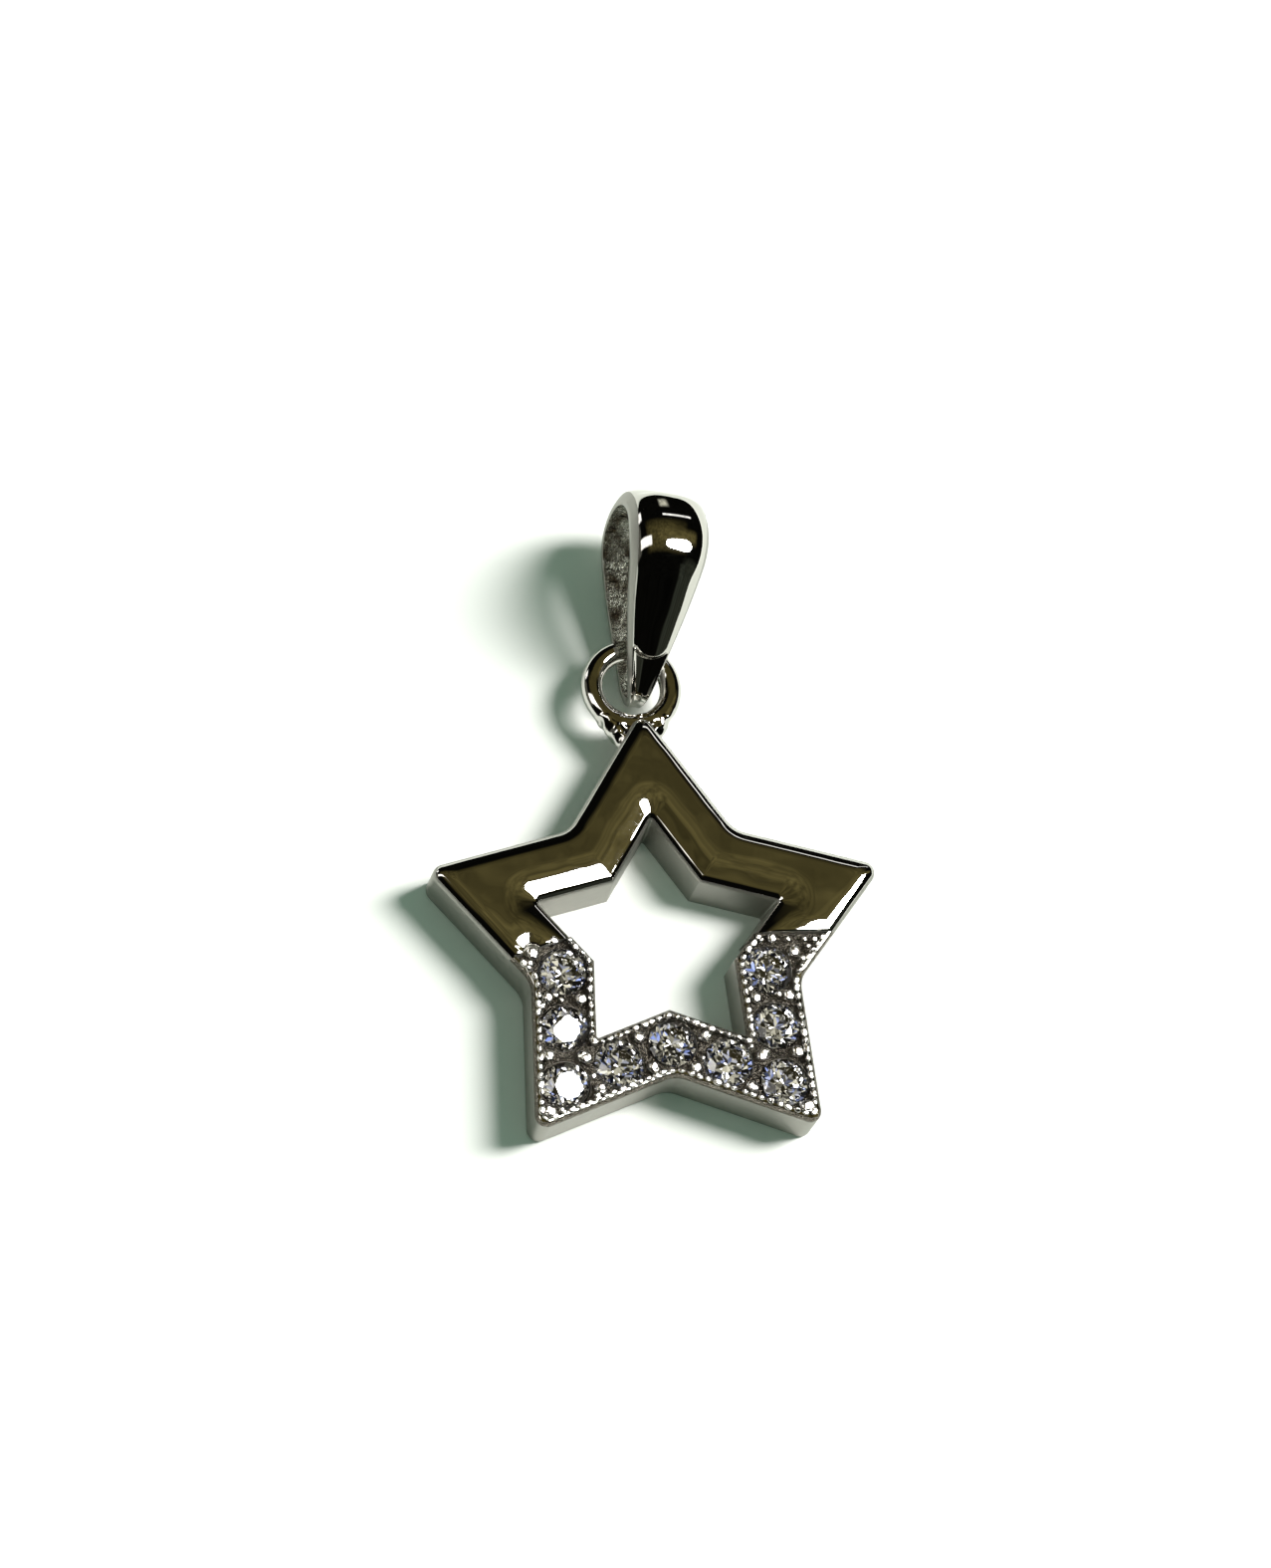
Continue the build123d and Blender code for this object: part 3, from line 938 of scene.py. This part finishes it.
def facingOut(face):
    # 1 on the outside of the loop, 0 on its sides and -1 inside
    _, y, z = face.center
    if y > bail["reach"] - bail["depth"] / 2 * math.sin(bailPitch):
        outward = Vector((0, y - bail["reach"], z))
    elif y < -bailFoot * math.sin(bailPitch):
        outward = Vector((0, y, z))
    else:
        outward = Vector((0, -math.sin(bailPitch), math.copysign(math.cos(bailPitch), z)))
    return face.normal.dot(outward.normalized())


bailShares = [step / bail["sideSteps"] for step in range(bail["sideSteps"] + 1)]
bailSections = [(share, bailPoint(share)[0]) for share in bailShares]


def isBailSide(face):
    # beyond the dome of the nearest section
    across, y, z = face.center
    nearest = min(bailSections, key=lambda section: math.hypot(section[1].y - y, section[1].z - abs(z)))
    return abs(across) > bailWidths(nearest[0])[2]


def isBailInside(face):
    return facingOut(face) < bail["insideFacing"]


def makeBail():
    shares = {step / bail["steps"] for step in range(bail["steps"] + 1)}
    low = bail["domeStart"] - bail["domeBlend"]
    length = bail["domeBow"] + 3 * bail["domeBlend"]
    shares |= {low + length * step / bail["endSteps"] for step in range(bail["endSteps"])}
    shares = sorted(shares)
    outlines = [bailOutline(share, 1) for share in shares]
    outlines += [bailOutline(share, -1) for share in shares[-2:0:-1]]
    piece = skin("teardrop_bail", outlines)
    dress(piece, polished, (filed, isBailSide), (inside, isBailInside))
    applyModifier(piece, "SUBSURF", levels=1, render_levels=1)
    turn = Matrix.Rotation(math.radians(-bail["turn"]), 4, "Z") @ Matrix.Rotation(bailPitch, 4, "X")
    piece.data.transform(turn @ Matrix.Rotation(math.radians(bail["lean"]), 4, "Y"))
    # no larger than the frame's bail, and in its place
    corners = [vertex.co for vertex in piece.data.vertices]
    low = Vector([min(corner[axis] for corner in corners) for axis in range(3)])
    high = Vector([max(corner[axis] for corner in corners) for axis in range(3)])
    cadLow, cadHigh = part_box("bail")
    middle = (low + high) / 2
    fit = min((cadHigh - cadLow)[axis] / mm / (high - low)[axis] for axis in range(3))
    if fit < 1:
        piece.data.transform(Matrix.Translation(middle) @ Matrix.Scale(fit, 4) @ Matrix.Translation(-middle))
    piece.data.transform(Matrix.Translation(((cadLow + cadHigh) / 2 - starMiddle) / mm - middle))
    return piece


# Walls hardly face up or down, and the rough bed of the pave faces up between two heights
faceLimits = {
    "wallUp": 0.65,
    "bedUp": 0.1,
    "bedLow": 0.3,
    "bedUnderTop": 0.1,
}


def isWall(face):
    return abs(face.normal.z) < faceLimits["wallUp"]


def isBed(face):
    high = star["thickness"] - faceLimits["bedUnderTop"]
    return faceLimits["bedLow"] < face.center.z < high and face.normal.z > faceLimits["bedUp"]


starPiece = makePolishedStar()
dress(starPiece, polished, (filed, isWall))
finishPiece(starPiece, polished, replaces=["star_frame"], keepFlat=False)
bedPiece = makePaveBed()
dress(bedPiece, polished, (filed, isWall), (cast, isBed))
finishPiece(bedPiece, polished, replaces=["star_frame"])
finishPiece(makeMilgrain(), burnished, smoothAngle=80, replaces=["star_frame"])
finishPiece(makeGrains(), burnished, smoothAngle=80, replaces=["star_frame"])
finishPiece(makeRing(), polished, smoothAngle=80, replaces=["star_frame"])
finishPiece(makeBail(), polished, smoothAngle=40, replaces=["bail"])

# The stones sit a little unevenly in their seats: tilt to the east and to the south in degrees, and turn
stoneSeats = {
    "stone_1": (-3, -2, 10),
    "stone_2": (3, 9.5, 0),
    "stone_3": (5, 8, 22),
    "stone_4": (-2, 3, 5),
    "stone_5": (3, -3, 31),
    "stone_6": (-3, 2, 14),
    "stone_7": (2, -2, 38),
    "stone_8": (-2, -3, 3),
    "stone_9": (3, 2, 25),
}


def seatStone(name):
    # the cut stone of the frame, tilted as it was set
    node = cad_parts[name]
    stone = node.copy()
    stone.data = node.data.copy()
    stone.name = name.replace("stone", "cut_stone")
    bpy.context.scene.collection.objects.link(stone)
    stone.data.materials.clear()
    stone.data.materials.append(zirconia)
    openPiece(stone)
    bpy.ops.mesh.select_all(action="SELECT")
    bpy.ops.mesh.remove_doubles(threshold=1e-7)
    bpy.ops.mesh.normals_make_consistent(inside=False)
    closePiece()
    east, south, turn = (math.radians(angle) for angle in stoneSeats[name])
    low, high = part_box(name)
    middle = (low + high) / 2
    tilt = Matrix.Rotation(east, 4, "Y") @ Matrix.Rotation(south, 4, "X") @ Matrix.Rotation(turn, 4, "Z")
    stone.data.transform(Matrix.Translation(middle) @ tilt @ Matrix.Translation(-middle))
    for face in stone.data.polygons:
        face.use_smooth = False
    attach(stone, "root")
    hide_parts(name)
    print("piece", stone.name, len(stone.data.polygons), "faces")


for name in stoneNames:
    seatStone(name)

# Camera where the photograph was taken from: angles in degrees, distances in millimetres
view = {
    "azimuth": -31.18,
    "elevation": 64.52,
    "roll": 28.47,
    "distance": 150.0,
    "aimRight": -0.497,
    "aimUp": 4.997,
    "lens": 118.04,
}


def makeCamera():
    azimuth, elevation, roll = (math.radians(view[key]) for key in ("azimuth", "elevation", "roll"))
    level = math.cos(elevation)
    back = Vector((math.sin(azimuth) * level, -math.cos(azimuth) * level, math.sin(elevation)))
    side = Vector((0, 0, 1)).cross(back).normalized()
    rise = back.cross(side)
    right = math.cos(roll) * side + math.sin(roll) * rise
    up = -math.sin(roll) * side + math.cos(roll) * rise
    place = starMiddle + (view["aimRight"] * right + view["aimUp"] * up + view["distance"] * back) * mm
    deselectAll()
    bpy.ops.object.camera_add(location=place)
    camera = bpy.context.object
    camera.matrix_world = Matrix.Translation(place) @ Matrix((right, up, back)).transposed().to_4x4()
    camera.data.lens = view["lens"]
    camera.data.sensor_width = 36
    camera.data.clip_start = 0.005
    camera.data.clip_end = 10
    bpy.context.scene.camera = camera
    print("camera ready")


# The window throws the shadows, and the metal mirrors the softbox instead, which stands higher.
# Tilt from straight up to the east and to the north, width and height in degrees, metres away, watts
lights = {
    "north_east_window": (43, 12, 33, 18, 0.4, 3.05),
    "east_softbox": (32, -4, 33, 18, 0.4, 2.3),
}


def makeLight(name):
    east, north, width, height, away, power = lights[name]
    tilt = Vector((math.radians(east), math.radians(north)))
    polar = tilt.length
    side = tilt.normalized()
    direction = Vector((side.x * math.sin(polar), side.y * math.sin(polar), math.cos(polar)))
    deselectAll()
    bpy.ops.object.light_add(type="AREA", location=starMiddle + direction * away)
    light = bpy.context.object
    light.name = name
    across = Vector((0, 1, 0)).cross(direction).normalized()
    facing = Matrix((across, direction.cross(across), direction)).transposed()
    light.rotation_euler = facing.to_euler()
    light.data.shape = "ELLIPSE"
    light.data.size = 2 * away * math.tan(math.radians(width) / 2)
    light.data.size_y = 2 * away * math.tan(math.radians(height) / 2)
    light.data.energy = power
    light.visible_camera = False
    return light


def makeLights():
    window = makeLight("north_east_window")
    window.visible_glossy = False
    window.visible_transmission = False
    softbox = makeLight("east_softbox")
    softbox.visible_diffuse = False
    print("lights ready")


def makeStage():
    deselectAll()
    bpy.ops.mesh.primitive_plane_add(size=3)
    floor = bpy.context.object
    floor.name = "floor"
    floor.data.materials.append(mattBoard())
    print("floor ready")


# What the metal mirrors of the dim room: from and to east, from and to north in degrees of tilt from
# straight up, how soft its edges are, its colour and its strength
room = {
    "overhead": (-27, 27, -11, 25, 13, "544d2e", 1),
    "besideLight": (4, 56, 5, 13, 10, "6f663f", 1),
    "westCard": (-100, -64, -12, 35, 5, "66665f", 1),
    "westLamp": (-62, -26, -5, 9, 4, "fffdf8", 3),
    "northStrip": (12, 46, 43, 45, 1.5, "ffffff", 2),
    "highWindow": (13, 23, 63, 71, 5, "dcdccb", 1),
    "northWest": (-66, -52, 44, 56, 4, "ffffff", 2),
    "southEast": (44, 90, -90, -36, 14, "34372f", 1),
    "southBars": (30, 36, -84, -40, 4, "3c4038", 1),
}
# The dim room itself, the painted light that only rays through the stones see (grey, with painted blue
# glints), the fill of the shadows and the paper behind
roomColours = {
    "dark": "0b0b09",
    "paintedGemGrey": "a09d8c",
    "paintedGemBlue": "7f90c8",
    "shadowFill": "6c8778",
    "paper": "f4f4f2",
}
# Noise over the room: its scale and detail, the part of it that is used, and what that becomes
mottles = {
    "mirrored": (12, 3, 0.3, 0.7, 0.55, 1.35),
    # the last two paint the light seen only through the stones: where it turns blue, and how bright its
    # painted glints are
    "paintedGemTint": (2.2, 0, 0.6, 0.7, 0, 1),
    "paintedGemGlints": (4, 3, 0.47, 0.62, 0.03, 3.2),
}


def makeWorld():
    # olive brown overhead, near black towards the horizon, with the gaps of a window
    world = bpy.data.worlds.new("room")
    bpy.context.scene.world = world
    world.use_nodes = True
    tree = world.node_tree
    tree.nodes.clear()
    direction = addNode(tree, "ShaderNodeTexCoord").outputs["Generated"]

    def between(value, low, high, soft):
        # 1 from low to high, and less and less over the soft edges
        edges = []
        for start, end, before, after in ((low - soft, low, 0, 1), (high, high + soft, 1, 0)):
            sockets = {"Value": value, "From Min": start, "From Max": end, "To Min": before, "To Max": after}
            edges.append(addNode(tree, "ShaderNodeMapRange", sockets).outputs["Result"])
        return addNode(tree, "ShaderNodeMath", dict(enumerate(edges)), operation="MULTIPLY").outputs[0]

    def mottled(name):
        scale, detail, low, high, least, most = mottles[name]
        sockets = {"Vector": direction, "Scale": scale, "Detail": detail}
        spots = addNode(tree, "ShaderNodeTexNoise", sockets).outputs["Fac"]
        sockets = {"Value": spots, "From Min": low, "From Max": high, "To Min": least, "To Max": most}
        return addNode(tree, "ShaderNodeMapRange", sockets).outputs["Result"]

    # tilt of each direction from straight up, in degrees to the east and to the north
    axes = addNode(tree, "ShaderNodeSeparateXYZ", {"Vector": direction}).outputs
    polar = addNode(tree, "ShaderNodeMath", {0: axes["Z"]}, operation="ARCCOSINE").outputs[0]
    degrees = addNode(tree, "ShaderNodeMath", {0: polar, 1: math.degrees(1)}, operation="MULTIPLY").outputs[0]
    sine = addNode(tree, "ShaderNodeMath", {0: polar}, operation="SINE").outputs[0]
    spread = addNode(tree, "ShaderNodeMath", {0: degrees, 1: sine}, operation="DIVIDE").outputs[0]
    east = addNode(tree, "ShaderNodeMath", {0: axes["X"], 1: spread}, operation="MULTIPLY").outputs[0]
    north = addNode(tree, "ShaderNodeMath", {0: axes["Y"], 1: spread}, operation="MULTIPLY").outputs[0]
    colour = hexColour(roomColours["dark"])
    for low, high, south, top, soft, code, strength in room.values():
        sides = {0: between(east, low, high, soft), 1: between(north, south, top, soft)}
        share = addNode(tree, "ShaderNodeMath", sides, operation="MULTIPLY").outputs[0]
        bright = tuple(strength * part for part in hexColour(code)[:3]) + (1,)
        sockets = {"Factor": share, "A": colour, "B": bright}
        colour = addNode(tree, "ShaderNodeMix", sockets, data_type="RGBA").outputs["Result"]
    sockets = {"Color": colour, "Strength": mottled("mirrored")}
    seen = addNode(tree, "ShaderNodeBackground", sockets).outputs[0]
    # painted glints in the stones: rays that pass through them see a light of their own, grey and bluish in
    # noise patches over direction, so that each facet catches a different brightness and tint
    grey, blue = hexColour(roomColours["paintedGemGrey"]), hexColour(roomColours["paintedGemBlue"])
    sockets = {"Factor": mottled("paintedGemTint"), "A": grey, "B": blue}
    paintedGemLight = addNode(tree, "ShaderNodeMix", sockets, data_type="RGBA").outputs["Result"]
    path = addNode(tree, "ShaderNodeLightPath").outputs
    for ray, shown, strength in (
        ("Is Transmission Ray", paintedGemLight, mottled("paintedGemGlints")),
        ("Is Diffuse Ray", hexColour(roomColours["shadowFill"]), 1.0),
        ("Is Camera Ray", hexColour(roomColours["paper"]), 1.0),
    ):
        other = addNode(tree, "ShaderNodeBackground", {"Color": shown, "Strength": strength}).outputs[0]
        seen = addNode(tree, "ShaderNodeMixShader", {0: path[ray], 1: seen, 2: other}).outputs[0]
    addNode(tree, "ShaderNodeOutputWorld", {"Surface": seen})
    print("room ready")


makeCamera()
makeStage()
makeLights()
makeWorld()
bpy.context.scene.view_settings.view_transform = "Standard"
